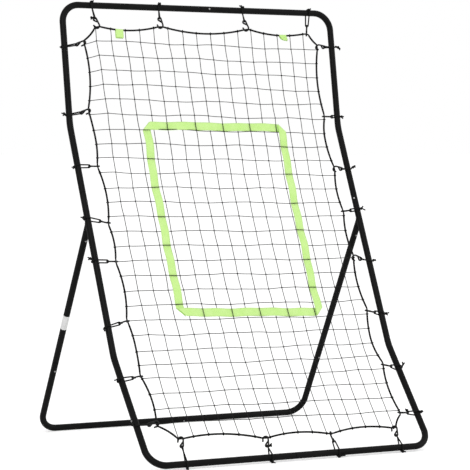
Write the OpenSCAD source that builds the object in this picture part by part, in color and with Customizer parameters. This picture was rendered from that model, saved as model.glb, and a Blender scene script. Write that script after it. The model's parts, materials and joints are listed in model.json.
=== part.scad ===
// Pitch back rebounder: a bent tube frame that holds a net on elastic loops, with a rear stand that plugs in.
// Millimetres, +Z up, +Y to the back. The origin is on the ground in the middle of the footprint.

/* [Frame] */
// Width between the centre lines of the two side tubes
frame_width = 1200; // [1100:10:1400]
// Length of the side from the top bar to the upper bend
upper_length = 470; // [440:5:560]
// Length of the side between the two bends
middle_length = 940; // [880:5:1100]
// Length of the side from the lower bend to the bottom bar
lower_length = 470; // [440:5:560]
// Lean of the middle of the side from the vertical, in degrees
middle_lean = 26; // [22:1:30]
// Change of lean at each bend, in degrees
bend_angle = 15; // [10:1:18]
// Centre line radius of the two bends in the side
bend_radius = 150; // [100:5:180]
// Centre line radius of the frame's and the stand's corners
corner_radius = 70; // [50:1:90]

/* [Tube] */
// Outer diameter of every tube
tube_d = 25; // [22:0.5:28]
// Wall of every tube
tube_wall = 1.4; // [1:0.1:1.8]
// Length of the narrowed end that slides into the next tube
spigot_length = 75; // [65:1:90]
// Gap between that narrowed end and the bore around it
spigot_clearance = 0.1; // [0.05:0.05:0.2]
// Length of the taper between the full tube and its narrowed end
swage_length = 3; // [2:0.5:6]

/* [Stand] */
// Distance down the side tube from the upper bend to the leg's weld
weld_drop = 405; // [380:5:450]
// Lean of the stand's legs from the vertical, in degrees
leg_lean = 27; // [22:1:32]
// Length of the welded stub that carries the leg
stub_length = 34; // [30:1:45]
// Diameter of the welded stub, a shade under the tubes
stub_d = 24.8; // [20:0.1:24.9]
// Distance down the leg from the weld to the joint in the leg
leg_joint = 626; // [560:2:680]

/* [Joints] */
// Distance down from the upper bend to the joint in the side
side_joint = 282; // [240:2:300]
// Distance down from the lower bend to the joint near the foot
foot_joint = 239; // [220:1:260]
// Diameter of a snap button
button_d = 7; // [6:0.5:8]
// Gap between a snap button and its hole
button_clearance = 0.08; // [0.03:0.01:0.1]
// Distance from a joint's edge to the middle of its button
button_offset = 37; // [30:1:45]
// Height of a button above the tube
button_standout = 2.5; // [1.5:0.5:4]
// Radius of the flange that keeps a button in its tube
flange_r = 4.5; // [4.2:0.1:5]
// Thickness of that flange
flange_thickness = 0.8; // [0.6:0.1:1.2]
// Width of a button's leaf spring
spring_width = 7; // [5:0.5:8]
// Thickness of a button's leaf spring
spring_thickness = 0.6; // [0.4:0.1:0.8]
// Length of a leaf spring's arms, from the button to the fold
spring_length = 26; // [20:1:30]

/* [Net] */
// Number of meshes across the net
net_columns = 13; // [9:1:14]
// Number of meshes up each of the two short panels
short_rows = 5; // [3:1:5]
// Number of meshes up the long middle panel
long_rows = 12; // [8:1:12]
// Width and thickness of the net's twine
twine = 2.4; // [1.5:0.1:3]
// Diameter of the rope round the net
rope_d = 6; // [4:0.5:7]
// Draw of the rope between two hooks, as a share of their distance
rope_draw = 0.06; // [0.02:0.01:0.08]
// Gap between soft pieces and what they lie against
soft_gap = 0.3; // [0.2:0.1:0.5]

/* [Hooks and loops] */
// Diameter of a hook's wire
wire_d = 5; // [4:0.2:5.4]
// Centre line radius of a hook's eye
eye_r = 6; // [5.8:0.1:6.6]
// Centre line radius of the curl that holds the rope
curl_r = 10.5; // [9.5:0.5:11]
// Distance along a hook from its eye's centre to its curl's centre
hook_span = 26; // [24:1:30]
// Sideways step from the eye's centre to the curl's centre
curl_step = 4; // [2:0.5:6]
// Length of the flared tip
tip_length = 6; // [3:0.5:8]
// Diameter of the elastic cord
cord_d = 5; // [4:0.5:5.4]
// Diameter of a loop's knot
knot_d = 11; // [9:0.5:12]
// Length of a cord's loose end past its knot
tail_length = 18; // [10:1:25]
// Height of the bottom bar's underside above the ground
bar_lift = 6.3; // [5.5:0.1:7.5]

/* [Target] */
// Width of the target, outside its ribbon
target_width = 634; // [500:2:700]
// Height of the target, outside its ribbon
target_height = 805; // [600:5:850]
// Width of the ribbon
ribbon_width = 33; // [20:1:40]
// Thickness of the ribbon and of the two tags
ribbon_thickness = 0.8; // [0.5:0.1:1.5]
// Distance from the upper bend down to the target's top edge
target_drop = 3; // [2:1:40]
// How far the target's middle lies to the right of the net's middle
target_shift = 12; // [-20:1:20]
// Side of the square tags on the net's top edge
tag_size = 31; // [20:1:40]

/* [Label] */
// Distance down the left leg to the middle of the blank label
label_place = 441; // [200:1:560]
// Length of the label
label_length = 60; // [30:1:90]
// Thickness of the label
label_thickness = 0.25; // [0.2:0.05:0.5]

/* [Hidden] */
$fn = 48;
cut = 1; // how far a cutting solid runs past what it cuts
play = 0.1; // room between a snap button, its spring and the tube's inside
bend_swell = 0.18; // how much the wall stands out, all round, where a tube is bent
hair = 0.02; // the least step between two round pieces that fuse
lap = 0.5; // how far a straight runs into a bend

// Hooks on the top and bottom bars: place along the bar as a share of half its width,
// lead along the bar to the rope, gap from the bar to the rope, turn of the hook.
top_hooks = [[-0.79, 18, 84, -45], [-0.305, 2, 76, -45], [0.32, 13, 76, -45], [0.83, -13, 88, 62]];
bottom_hooks = [[-0.755, 9, 107, 45], [-0.17, 4, 84, 45], [0.31, 0, 83, -67], [0.78, 2, 88, 45]];
// Hooks on the sides: panel, place as a share of the panel's height, then the same three.
left_hooks = [
    [2, 0.649, 16, 84, -45],
    [2, 0.085, 15, 84, -45],
    [1, 0.818, 0, 84, 68],
    [1, 0.588, -17, 84, 68],
    [1, 0.406, -3, 84, 68],
    [1, 0.129, 19, 84, 68],
    [0, 0.791, 11, 84, 53],
    [0, 0.374, -1, 84, -45],
];
right_hooks = [
    [2, 0.706, -2, 69, 45],
    [2, 0.089, 1, 62, -80],
    [1, 0.802, 0, 63, 45],
    [1, 0.611, -6, 68, -68],
    [1, 0.377, 14, 69, 45],
    [1, 0.136, 15, 63, -68],
    [0, 0.762, 17, 63, -53],
    [0, 0.311, 7, 76, -53],
];
side_button_turn = 40; // how far a side button faces inwards from the front
knot_lean = 20; // how far a loop's knot leans to the front, in degrees
tail_rise = 50; // how far a loose cord's end stands up from the bar, in degrees
tag_places = [-0.605, 0.625]; // along the top bar, as a share of half its width
label_seat = 0.05; // the glue between the label and its leg

black_paint = [0.09, 0.09, 0.1];
black_wire = [0.07, 0.07, 0.08];
black_cord = [0.05, 0.05, 0.05];
black_twine = [0.1, 0.1, 0.1];
bare_steel = [0.62, 0.63, 0.65];
spring_steel = [0.7, 0.7, 0.72];
lime = [0.78, 0.96, 0.51];
off_white = [0.93, 0.93, 0.92];

// Tube sizes
tube_r = tube_d / 2;
bore_r = tube_r - tube_wall;
spigot_r = bore_r - spigot_clearance;
spigot_bore_r = spigot_r - tube_wall;
half_width = frame_width / 2;
bend_run = bend_radius * tan(bend_angle / 2);
bar_z = tube_r + bar_lift;

// The three flat panels of the bent frame, from the ground up
panel_length = [lower_length, middle_length, upper_length];
panel_lean = [middle_lean + bend_angle, middle_lean, middle_lean - bend_angle];
panel_start = [0, lower_length, lower_length + middle_length];
function lean_y(k) = k < 0 ? 0 : lean_y(k - 1) + panel_length[k] * sin(panel_lean[k]);
function lean_z(k) = k < 0 ? bar_z : lean_z(k - 1) + panel_length[k] * cos(panel_lean[k]);

// Stand sizes, from the weld on the side tube down to the ground
weld_height = middle_length - weld_drop;
weld_y = lean_y(0) + weld_height * sin(middle_lean);
weld_z = lean_z(0) + weld_height * cos(middle_lean);
leg_length = (weld_z - tube_r) / cos(leg_lean);
base_y = weld_y + leg_length * sin(leg_lean);

// Knots stand out in front of the bottom bar, so the footprint runs from them to the base bar
cord_r = cord_d / 2;
cord_step = 0.3; // how far a straight stops short of a bend, inside the ball that joins them
cord_ball_r = cord_r * 1.08;
knot_r = knot_d / 2;
knot_hold = 0.2; // how far a knot reaches past its cord towards the tube
knot_seat = tube_r + soft_gap - knot_hold + knot_r;
knot_flat = 0.5; // how deep the ground presses into a knot of the bottom bar
tail_r = cord_r * 0.9;
short_tail = 0.7; // the shorter loose end, as a share of the longer
foot_angle = asin((bar_z - knot_r + knot_flat) / knot_seat);
front_y = -knot_seat * cos(foot_angle) - knot_r;
middle_y = (front_y + base_y + tube_r) / 2;

// Hook sizes
wire_r = wire_d / 2;
rope_r = rope_d / 2;
bight_r = wire_r + soft_gap + cord_r;
seat_run = eye_r + hook_span + curl_r - wire_r - rope_r - soft_gap;
seat_turn = atan2(curl_step, seat_run);
hook_length = norm([seat_run, curl_step]);
wire_lap = 0.3; // how far a straight wire runs into a bend
knuckle_r = wire_r * 1.06;
eye_sweep = 220; // how much of the eye is one bend, before its straight closing end
eye_end_r = wire_r * 0.92;
tip_turn = 215; // the flared tip's direction, from the pull

// Button sizes, outward from the tube's axis
button_r = button_d / 2;
hole_r = button_r + button_clearance;
flange_top = sqrt(pow(spigot_bore_r, 2) - pow(flange_r, 2)) - 2 * play;
flange_bottom = flange_top - flange_thickness;
button_top = tube_r + button_standout;
dome_r = 8;
rivet_r = 1.5;
rivet_length = spring_thickness + 0.6;
arm_over = 0.5; // how far the upper arm runs past the button's flange
floor_over = 3.5; // how far the lower arm runs past it
fold_r = 3;

// ---- Places ----

// Draws its children in panel k: x across, y to the back of the panel, z up the panel.
module on_panel(k) {
    translate([0, lean_y(k - 1) - middle_y, lean_z(k - 1)])
        rotate([-panel_lean[k], 0, 0])
            children();
}

// Draws its children in the plane of the stand, with z = 0 at the weld.
module on_stand() {
    translate([0, weld_y - middle_y, weld_z])
        rotate([leg_lean, 0, 0])
            children();
}

// Draws its children on the right (side = 1) or mirrored to the left (side = -1).
module on_side(side) {
    mirror([side < 0 ? 1 : 0, 0, 0])
        children();
}

// Each joint's frame: the origin is at the joint's edge, z runs into the tube that takes the spigot.
module at_top_joint() {
    on_panel(2) translate([0, 0, upper_length]) rotate([0, 90, 0]) children();
}

module at_bottom_joint() {
    on_panel(0) rotate([0, 90, 0]) children();
}

module at_base_joint() {
    on_stand() translate([0, 0, -leg_length]) rotate([0, 90, 0]) children();
}

module down_from(x, z) {
    translate([x, 0, z]) rotate([180, 0, 0]) children();
}

module at_side_joint(side) {
    on_side(side) on_panel(1) down_from(half_width, middle_length - side_joint) children();
}

module at_foot_joint(side) {
    on_side(side) on_panel(0) down_from(half_width, lower_length - foot_joint) children();
}

module at_leg_top_joint(side) {
    on_side(side) on_stand() down_from(half_width, -stub_length) children();
}

module at_leg_joint(side) {
    on_side(side) on_stand() down_from(half_width, -leg_joint) children();
}

// Each snap button's frame: z points out of the tube that it locks, y runs along it.
module at_button(facing) {
    rotate([0, 0, facing]) translate([0, 0, button_offset]) rotate([90, 0, 0]) children();
}

module at_top_button() {
    at_top_joint() at_button(0) children();
}

module at_bottom_button() {
    at_bottom_joint() at_button(180) children();
}

module at_base_button() {
    at_base_joint() at_button(0) children();
}

module at_side_button(side) {
    at_side_joint(side) at_button(180 + side_button_turn) children();
}

module at_foot_button(side) {
    at_foot_joint(side) at_button(90) children();
}

module at_leg_top_button(side) {
    at_leg_top_joint(side) at_button(180) children();
}

module at_leg_button(side) {
    at_leg_joint(side) at_button(180) children();
}

// ---- Tubes ----

// A straight rod along z at x, from the height low to the height high.
module rod_up(x, low, high, r) {
    translate([x, 0, low]) cylinder(h = high - low, r = r);
}

// A straight rod along x at the height z.
module rod_across(from_x, to_x, z, r) {
    translate([from_x, 0, z]) rotate([0, 90, 0]) cylinder(h = to_x - from_x, r = r);
}

// A quarter bend in the panel, whose arc starts at the angle start.
module corner(z, start, r) {
    translate([half_width - corner_radius, 0, z])
        rotate([90, 0, 0])
            rotate([0, 0, start])
                rotate_extrude(angle = 90)
                    translate([corner_radius, 0]) circle(r = r + bend_swell);
}

// The bend between panel k and the panel above it.
module side_bend(k, r) {
    on_panel(k)
        translate([half_width, -bend_radius, panel_length[k] - bend_run])
            rotate([90, 0, 90])
                rotate_extrude(angle = bend_angle)
                    translate([bend_radius, 0]) circle(r = r + bend_swell);
}

// The narrowed end of a tube, with its taper, from the tube's cut edge outwards.
module spigot(full_r, narrow_r, extra = 0) {
    translate([0, 0, -lap]) cylinder(h = lap, r = full_r - hair);
    cylinder(h = swage_length, r1 = full_r - hair, r2 = narrow_r);
    translate([0, 0, swage_length]) cylinder(h = spigot_length + extra, r = narrow_r);
}

module spigot_at_joint(full_r, narrow_r, extra = 0) {
    translate([0, 0, -swage_length]) spigot(full_r, narrow_r, extra);
}

// The hole for a snap button, in both tubes of a joint.
module button_hole() {
    cylinder(h = tube_r + cut, r = hole_r);
}

module top_rods(from_x, low, r) {
    on_panel(2) {
        rod_across(from_x, half_width - corner_radius + lap, upper_length, r);
        corner(upper_length - corner_radius, 0, r);
        rod_up(half_width, bend_run - lap, upper_length - corner_radius + lap, r);
    }
    side_bend(1, r);
    on_panel(1) rod_up(half_width, low, middle_length - bend_run + lap, r);
}

// Half of the top bar with its corner and the upper side down to the side joint.
module top_tube(side) {
    edge = middle_length - side_joint + swage_length;
    color(black_paint) difference() {
        union() {
            on_side(side) top_rods(side > 0 ? 0 : swage_length, edge, tube_r);
            at_side_joint(side) spigot_at_joint(tube_r, spigot_r);
            if (side < 0) at_top_joint() spigot_at_joint(tube_r, spigot_r);
        }
        on_side(side) top_rods(side > 0 ? -cut : swage_length, edge, bore_r);
        at_side_joint(side) spigot_at_joint(bore_r, spigot_bore_r, cut);
        if (side < 0) at_top_joint() spigot_at_joint(bore_r, spigot_bore_r, cut);
        at_top_button() button_hole();
        at_side_button(side) button_hole();
    }
}

module side_rods(over, r) {
    on_panel(1) rod_up(half_width, bend_run - lap, middle_length - side_joint + over, r);
    side_bend(0, r);
    on_panel(0)
        rod_up(half_width, lower_length - foot_joint + swage_length, lower_length - bend_run + lap, r);
}

// The stub that is welded to the side tube, with the narrowed end that the leg slides over.
module leg_stub(side) {
    difference() {
        union() {
            on_side(side) on_stand() rod_up(half_width, swage_length - stub_length, 0, stub_d / 2);
            at_leg_top_joint(side) spigot_at_joint(stub_d / 2, spigot_r);
        }
        on_side(side) on_stand() rod_up(half_width, swage_length - stub_length, cut, bore_r);
        at_leg_top_joint(side) spigot_at_joint(bore_r, spigot_bore_r, cut);
        at_leg_top_button(side) button_hole();
    }
}

// The middle of the side, from the side joint to the foot joint, with the stand's stub.
module side_tube(side) {
    color(black_paint) difference() {
        union() {
            on_side(side) side_rods(0, tube_r);
            at_foot_joint(side) spigot_at_joint(tube_r, spigot_r);
            leg_stub(side);
        }
        on_side(side) side_rods(cut, bore_r);
        at_foot_joint(side) spigot_at_joint(bore_r, spigot_bore_r, cut);
        at_side_button(side) button_hole();
        at_foot_button(side) button_hole();
    }
}

module bottom_rods(from_x, over, r) {
    on_panel(0) {
        rod_up(half_width, corner_radius - lap, lower_length - foot_joint + over, r);
        corner(corner_radius, -90, r);
        rod_across(from_x, half_width - corner_radius + lap, 0, r);
    }
}

// Half of the bottom bar with its corner, up to the foot joint.
module bottom_tube(side) {
    color(black_paint) difference() {
        union() {
            on_side(side) bottom_rods(side > 0 ? 0 : swage_length, 0, tube_r);
            if (side < 0) at_bottom_joint() spigot_at_joint(tube_r, spigot_r);
        }
        on_side(side) bottom_rods(side > 0 ? -cut : swage_length, cut, bore_r);
        if (side < 0) at_bottom_joint() spigot_at_joint(bore_r, spigot_bore_r, cut);
        at_foot_button(side) button_hole();
        at_bottom_button() button_hole();
    }
}

// The upper leg, from the stub to the joint in the leg.
module stand_leg(side) {
    edge = swage_length - leg_joint;
    color(black_paint) difference() {
        union() {
            on_side(side) on_stand() rod_up(half_width, edge, -stub_length, tube_r);
            at_leg_joint(side) spigot_at_joint(tube_r, spigot_r);
        }
        on_side(side) on_stand() rod_up(half_width, edge, cut - stub_length, bore_r);
        at_leg_joint(side) spigot_at_joint(bore_r, spigot_bore_r, cut);
        at_leg_top_button(side) button_hole();
        at_leg_button(side) button_hole();
    }
}

module base_rods(from_x, over, r) {
    on_stand() {
        rod_up(half_width, corner_radius - leg_length - lap, over - leg_joint, r);
        corner(corner_radius - leg_length, -90, r);
        rod_across(from_x, half_width - corner_radius + lap, -leg_length, r);
    }
}

// The lower leg with its corner and half of the base bar.
module stand_base(side) {
    color(black_paint) difference() {
        union() {
            on_side(side) base_rods(side > 0 ? 0 : swage_length, 0, tube_r);
            if (side < 0) at_base_joint() spigot_at_joint(tube_r, spigot_r);
        }
        on_side(side) base_rods(side > 0 ? -cut : swage_length, cut, bore_r);
        if (side < 0) at_base_joint() spigot_at_joint(bore_r, spigot_bore_r, cut);
        at_leg_button(side) button_hole();
        at_base_button() button_hole();
    }
}

// ---- Snap buttons ----

module snap_button() {
    color(bare_steel) {
        intersection() {
            translate([0, 0, flange_top]) cylinder(h = button_top - flange_top, r = button_r);
            translate([0, 0, button_top - dome_r]) sphere(r = dome_r);
        }
        translate([0, 0, flange_bottom]) cylinder(h = flange_thickness, r = flange_r);
        translate([0, 0, flange_bottom - rivet_length]) cylinder(h = rivet_length, r = rivet_r);
    }
}

// The points of a strip of thickness t that follows a path in the plane.
function step_side(path, i) =
    let (a = path[max(i - 1, 0)], b = path[min(i + 1, len(path) - 1)], d = b - a)
    [-d.y, d.x] / norm(d);
function strip(path, t) = concat(
    [for (i = [0:len(path) - 1]) path[i] + step_side(path, i) * t / 2],
    [for (i = [len(path) - 1:-1:0]) path[i] - step_side(path, i) * t / 2]
);

// The folded leaf spring: one arm carries the button, the other lies on the far wall.
module button_spring() {
    arm_z = flange_bottom - spring_thickness / 2 - play / 2;
    floor_z = play + spring_thickness / 2 - sqrt(pow(spigot_bore_r, 2) - pow(spring_width / 2, 2));
    fold = [for (a = [90:15:270]) [fold_r * cos(a) - spring_length, floor_z + fold_r + fold_r * sin(a)]];
    head = flange_r + arm_over;
    path = concat([[head, arm_z], [-head, arm_z]], fold, [[flange_r + floor_over, floor_z]]);
    color(spring_steel) difference() {
        rotate([90, 0, 90])
            linear_extrude(height = spring_width, center = true)
                polygon(strip(path, spring_thickness));
        translate([0, 0, flange_bottom - rivet_length - cut])
            cylinder(h = rivet_length + 2 * cut, r = rivet_r + button_clearance);
    }
}

// ---- Hooks and elastic loops ----

// Each hook as [panel, where its loop leaves the tube, where the rope sits in the hook, turn of the hook].
function top_hook(h) =
    let (x = h[0] * half_width)
    [2, [x, upper_length], [x + h[1], upper_length - h[2]], h[3]];
function bottom_hook(h) =
    let (x = h[0] * half_width)
    [0, [x, 0], [x + h[1], h[2]], h[3]];
function side_hook(h, side) =
    let (z = h[1] * panel_length[h[0]])
    [h[0], [side * half_width, z], [side * (half_width - h[3]), z + h[2]], h[4]];

tops = [for (h = top_hooks) top_hook(h)];
rights = [for (h = right_hooks) side_hook(h, 1)];
bottoms = [for (h = bottom_hooks) bottom_hook(h)];
lefts = [for (h = left_hooks) side_hook(h, -1)];

// Draws its children at a hook's tube point, with x towards the rope and y to the back.
module along_hook(h) {
    pull = h[2] - h[1];
    on_panel(h[0])
        translate([h[1].x, 0, h[1].y])
            rotate([0, -atan2(pull.y, pull.x), 0])
                children();
}

// An arc of wire round the point at, between two angles.
module wire_arc(at, r, from, sweep) {
    translate([at.x, at.y, 0])
        rotate([0, 0, from])
            rotate_extrude(angle = sweep)
                translate([r, 0]) circle(r = wire_r + hair);
}

// A straight wire from the point at, in the direction turn, that runs into a bend at its start and its end.
module wire_line(at, turn, length, end_lap = wire_lap, r = wire_r) {
    translate([at.x, at.y, 0])
        rotate([0, 0, turn])
            rotate([0, 90, 0])
                translate([0, 0, -wire_lap])
                    cylinder(h = length + wire_lap + end_lap, r = r);
}

// A ball of wire at the point at, with its seam turned to a side where no wire leaves it.
module knuckle(at, seam) {
    translate([at.x, at.y, 0])
        rotate([0, 0, seam]) sphere(r = knuckle_r);
}

// A hook bent like the figure 2, with the near wire of its eye at the origin and the rope's seat on x.
module hook() {
    eye = [eye_r, 0];
    curl = [eye_r + hook_span, curl_step];
    reach = norm(curl - eye);
    // The shank is tangent to the eye and to the curl, at this angle round both.
    tangent = atan2(curl_step, hook_span) + 90 + asin((curl_r - eye_r) / reach);
    shank_length = sqrt(pow(reach, 2) - pow(curl_r - eye_r, 2));
    tip = curl + [0, -curl_r];
    rotate([0, 0, -seat_turn]) {
        wire_arc(eye, eye_r, tangent, eye_sweep);
        wire_line(eye + eye_r * [cos(tangent), sin(tangent)], tangent - 90, shank_length);
        wire_line(eye + eye_r * [cos(tangent + eye_sweep), sin(tangent + eye_sweep)],
            tangent + eye_sweep + 90, eye_r * tan((360 - eye_sweep) / 2), 0, eye_end_r);
        wire_arc(curl, curl_r, -90, tangent + 90);
        knuckle(tip, tip_turn / 2);
        wire_line(tip, tip_turn, tip_length, 0);
        knuckle(tip + tip_length * [cos(tip_turn), sin(tip_turn)], tip_turn);
    }
}

// A straight cord between two points, with a ball at each end where a bend of cord meets it.
module cord_line(p, q) {
    d = q - p;
    length = norm(d);
    translate(p)
        rotate([0, acos(d.z / length), atan2(d.y, d.x)]) {
            translate([0, 0, cord_step]) cylinder(h = length - 2 * cord_step, r = cord_r);
            sphere(r = cord_ball_r);
            translate([0, 0, length]) sphere(r = cord_ball_r);
        }
}

// A loop of cord: half a turn round the tube, two strands, and the bight through the hook's eye.
// The knot leans towards the front by lean, and its loose ends leave the bar at the angle rise.
module elastic_loop(h, lean, rise) {
    pull = h[2] - h[1];
    eye_x = norm(pull) - hook_length;
    turn = h[3];
    // How far the loop runs from square to its bar, which makes the bar's section an ellipse.
    skew = atan2(min(abs(pull.x), abs(pull.y)), max(abs(pull.x), abs(pull.y)));
    wrap_r = (tube_r + soft_gap) / cos(skew) + cord_r;
    slope = asin((wrap_r - bight_r) / eye_x);
    rotate([0, 0, 90 - slope])
        rotate_extrude(angle = 180 + 2 * slope)
            translate([wrap_r, 0]) circle(r = cord_r);
    for (k = [-1, 1]) {
        from = [wrap_r * sin(slope), k * wrap_r * cos(slope), 0];
        to = [eye_x, k * bight_r * cos(turn), -k * bight_r * sin(turn)];
        cord_line(from, to);
    }
    rotate([-turn, 0, 0])
        translate([eye_x, 0, 0])
            rotate([0, 0, -90])
                rotate_extrude(angle = 180)
                    translate([bight_r, 0]) circle(r = cord_r);
    rotate([0, 0, lean]) translate([-knot_seat / cos(skew), 0, 0]) {
        sphere(r = knot_r);
        for (k = [-1, 1])
            rotate([0, k * (90 - rise), 0])
                rotate([0, -90, 0]) cylinder(h = tail_length * (k > 0 ? 1 : short_tail), r = tail_r);
    }
}

module hooks(list, flip) {
    color(black_wire)
        for (h = list)
            along_hook(h)
                translate([norm(h[2] - h[1]) - hook_length, 0, 0])
                    rotate([90 - h[3] + (flip ? 180 : 0), 0, 0])
                        hook();
}

module elastic_loops(list, lean = knot_lean, rise = tail_rise) {
    color(black_cord)
        for (h = list)
            along_hook(h) elastic_loop(h, lean, rise);
}

// The bottom loops carry the bar, and their knots are pressed flat on the ground.
module elastic_loops_bottom() {
    lean = 90 - panel_lean[0] - foot_angle;
    color(black_cord) difference() {
        elastic_loops(bottoms, lean, 0);
        translate([-frame_width, -frame_width, -knot_d]) cube([2 * frame_width, 2 * frame_width, knot_d]);
    }
}

// ---- Net and rope ----

// The rope's points are on the unrolled frame: x across, y up the three panels in turn.
function reversed(list) = [for (i = [len(list) - 1:-1:0]) list[i]];
seats = concat(tops, rights, reversed(bottoms), reversed(lefts));
function unrolled(h) = [h[2].x, panel_start[h[0]] + h[2].y];
// The rope lies straight through a hook, square to its pull, for rope_rest to each side of its seat.
rope_rest = 9;
function rest_point(h, side) =
    let (pull = h[2] - h[1])
    unrolled(h) + side * rope_rest * [-pull.y, pull.x] / norm(pull);
// Between two seats the rope draws inwards, to the right of its run round the net.
rope_shares = [0, 0.15, 0.5, 0.85, 1];
function rope_point(p, q, t) =
    let (d = q - p)
    p + d * t + [d.y, -d.x] * rope_draw * 4 * t * (1 - t);
rope_run = [
    for (i = [0:len(seats) - 1])
        let (p = rest_point(seats[i], 1), q = rest_point(seats[(i + 1) % len(seats)], -1))
        for (t = rope_shares) rope_point(p, q, t)
];

// Folds a point of the unrolled frame into place, in its panel.
function panel_of(y) = y < panel_start[1] ? 0 : y < panel_start[2] ? 1 : 2;
function folded(p) =
    let (k = panel_of(p.y), z = p.y - panel_start[k], a = panel_lean[k])
    [p.x, lean_y(k - 1) - middle_y + z * sin(a), lean_z(k - 1) + z * cos(a)];
function back_of(p) = let (a = panel_lean[panel_of(p.y)]) [0, cos(a), -sin(a)];

rope_sides = 8;
function rope_ring(i) =
    let (
        n = len(rope_run),
        at = folded(rope_run[i]),
        d = folded(rope_run[(i + 1) % n]) - folded(rope_run[(i + n - 1) % n]),
        across = cross(d, back_of(rope_run[i])),
        u = across / norm(across),
        back = cross(u, d) / norm(d)
    )
    [for (s = [0:rope_sides - 1]) let (a = 360 * s / rope_sides) at + rope_r * (cos(a) * u + sin(a) * back)];

module edge_rope() {
    n = len(rope_run);
    points = [for (i = [0:n - 1]) each rope_ring(i)];
    function corner_at(i, s) = (i % n) * rope_sides + s % rope_sides;
    faces = [
        for (i = [0:n - 1], s = [0:rope_sides - 1])
            each [
                [corner_at(i, s), corner_at(i + 1, s + 1), corner_at(i, s + 1)],
                [corner_at(i, s), corner_at(i + 1, s), corner_at(i + 1, s + 1)],
            ]
    ];
    color(black_cord) polyhedron(points, faces);
}

// The net's outline lies inside the rope, clear of it.
function inset(i) =
    let (n = len(rope_run), d = rope_run[(i + 1) % n] - rope_run[(i + n - 1) % n])
    rope_run[i] + [d.y, -d.x] / norm(d) * (rope_r + soft_gap);
net_outline = [for (i = [0:len(rope_run) - 1]) inset(i)];
net_left = min([for (p = net_outline) p.x]);
net_right = max([for (p = net_outline) p.x]);
net_bottom = min([for (p = net_outline) p.y]);
net_top = max([for (p = net_outline) p.y]);
hook_relief = curl_r + wire_r + 1;

module bar_2d(from, to) {
    half = [twine, twine] / 2;
    translate(from - half) square(to - from + 2 * half);
}

// The short panels' twine starts this far from a bend, clear of the middle panel's edge.
fold_clear = (twine / 2 * (1 + sin(bend_angle)) + soft_gap) / cos(bend_angle);

// Columns share out the net's width, and rows the height of their panel.
module net_columns_2d(low, high) {
    step = (net_right - net_left) / net_columns;
    for (i = [1:net_columns - 1])
        bar_2d([net_left + i * step, low], [net_left + i * step, high]);
}

module net_rows_2d(low, high, rows, first, last) {
    step = (high - low) / rows;
    for (j = [first:last])
        bar_2d([net_left, low + j * step], [net_right, low + j * step]);
}

// One flat panel of the net: its children are its twine, drawn on the unrolled frame.
module net_panel(k) {
    color(black_twine)
        on_panel(k)
            translate([0, 0, -panel_start[k]])
                rotate([90, 0, 0])
                    linear_extrude(height = twine, center = true)
                        difference() {
                            intersection() {
                                union() children();
                                polygon(net_outline);
                            }
                            for (h = seats) translate(unrolled(h)) circle(r = hook_relief);
                        }
}

module net_upper() {
    net_panel(2) {
        net_columns_2d(panel_start[2] + fold_clear + twine / 2, net_top);
        net_rows_2d(panel_start[2], net_top, short_rows, 1, short_rows - 1);
    }
}

// The middle panel holds the row of twine at each bend.
module net_middle() {
    net_panel(1) {
        net_columns_2d(panel_start[1], panel_start[2]);
        net_rows_2d(panel_start[1], panel_start[2], long_rows, 0, long_rows);
    }
}

module net_lower() {
    net_panel(0) {
        net_columns_2d(net_bottom, panel_start[1] - fold_clear - twine / 2);
        net_rows_2d(net_bottom, panel_start[1], short_rows, 1, short_rows - 1);
    }
}

// ---- Target, tags and label ----

net_middle_x = (net_left + net_right) / 2;
ribbon_y = -twine / 2 - soft_gap - ribbon_thickness;

// The ribbon's square ring, with its corners folded over at 45 degrees.
module target_ribbon() {
    low = middle_length - target_drop - target_height;
    color(lime)
        on_panel(1)
            translate([net_middle_x + target_shift - target_width / 2, ribbon_y + ribbon_thickness, low])
                rotate([90, 0, 0])
                    linear_extrude(height = ribbon_thickness)
                        difference() {
                            square([target_width, target_height]);
                            translate([ribbon_width, ribbon_width])
                                square([target_width - 2 * ribbon_width, target_height - 2 * ribbon_width]);
                            for (corner = [[0, 0], [1, 0], [1, 1], [0, 1]])
                                translate([corner.x * target_width, corner.y * target_height])
                                    rotate(45)
                                        square(ribbon_width * sqrt(2) / 2, center = true);
                        }
}

// The lowest that the top rope comes over a tag's width.
top_rope = [for (p = rope_run) if (p.y > panel_start[2] + upper_length / 2) p];
function rope_low(x) = min([for (e = [-0.5, 0, 0.5]) lookup(x + e * tag_size, top_rope)]) - panel_start[2];

// A square tag that hangs from the top rope, in front of the net.
module tag(place) {
    x = place * half_width;
    color(lime)
        on_panel(2)
            translate([x - tag_size / 2, ribbon_y, rope_low(x) - rope_r - soft_gap - tag_size])
                cube([tag_size, ribbon_thickness, tag_size]);
}

// A blank label wrapped round the left leg.
module leg_label() {
    color(off_white)
        on_stand()
            translate([-half_width, 0, -label_place - label_length / 2])
                difference() {
                    cylinder(h = label_length, r = tube_r + label_seat + label_thickness);
                    translate([0, 0, -cut]) cylinder(h = label_length + 2 * cut, r = tube_r + label_seat);
                }
}

// ---- Nodes ----

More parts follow.
